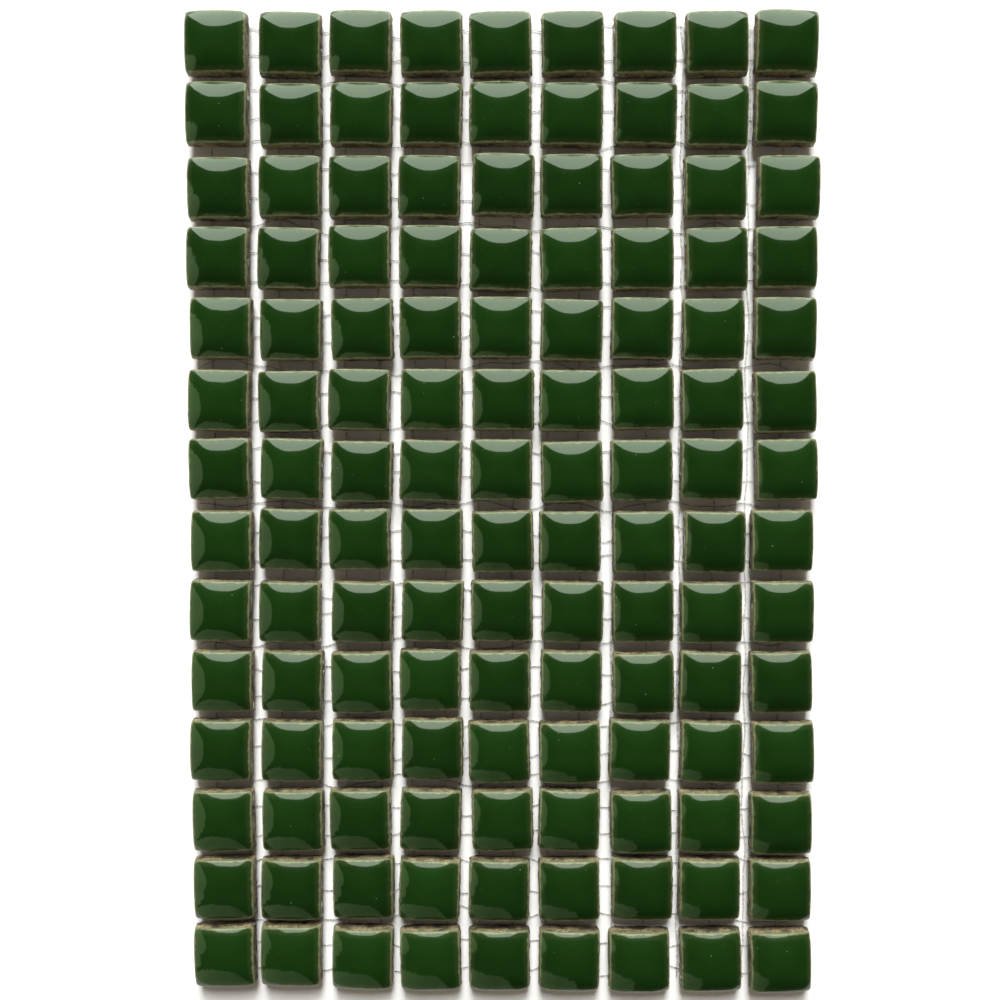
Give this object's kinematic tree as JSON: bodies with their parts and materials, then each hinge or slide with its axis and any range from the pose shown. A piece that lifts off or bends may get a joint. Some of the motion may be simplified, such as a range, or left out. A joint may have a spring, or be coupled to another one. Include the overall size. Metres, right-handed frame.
{
  "type": "mosaic tile sheet",
  "caption": "Mesh-mounted sheet of small square cushion-topped ceramic mosaic tiles in dark green gloss glaze, set in a grid with open grout joints on a thin fibre net.",
  "frame": {"origin": "under the middle of the sheet's outline, on the back of the net", "axes": "+X across the columns, to the right in the picture; +Y along the rows, to the top of the picture; +Z out of the glazed faces"},
  "size_m": [0.1052, 0.164, 0.0064],
  "materials": {
    "glazed_tile": "dark green gloss glaze on a tan fired body, bare on the walls and back",
    "net_yarn": "off-white coated fibre yarn"
  },
  "bodies": {
    "root": {"tile_row_01": "glazed_tile", "tile_row_02": "glazed_tile", "tile_row_03": "glazed_tile", "tile_row_04": "glazed_tile", "tile_row_05": "glazed_tile", "tile_row_06": "glazed_tile", "tile_row_07": "glazed_tile", "tile_row_08": "glazed_tile", "tile_row_09": "glazed_tile", "tile_row_10": "glazed_tile", "tile_row_11": "glazed_tile", "tile_row_12": "glazed_tile", "tile_row_13": "glazed_tile", "tile_row_14": "glazed_tile", "net_warp": "net_yarn", "net_weft": "net_yarn"}
  },
  "joints": []
}
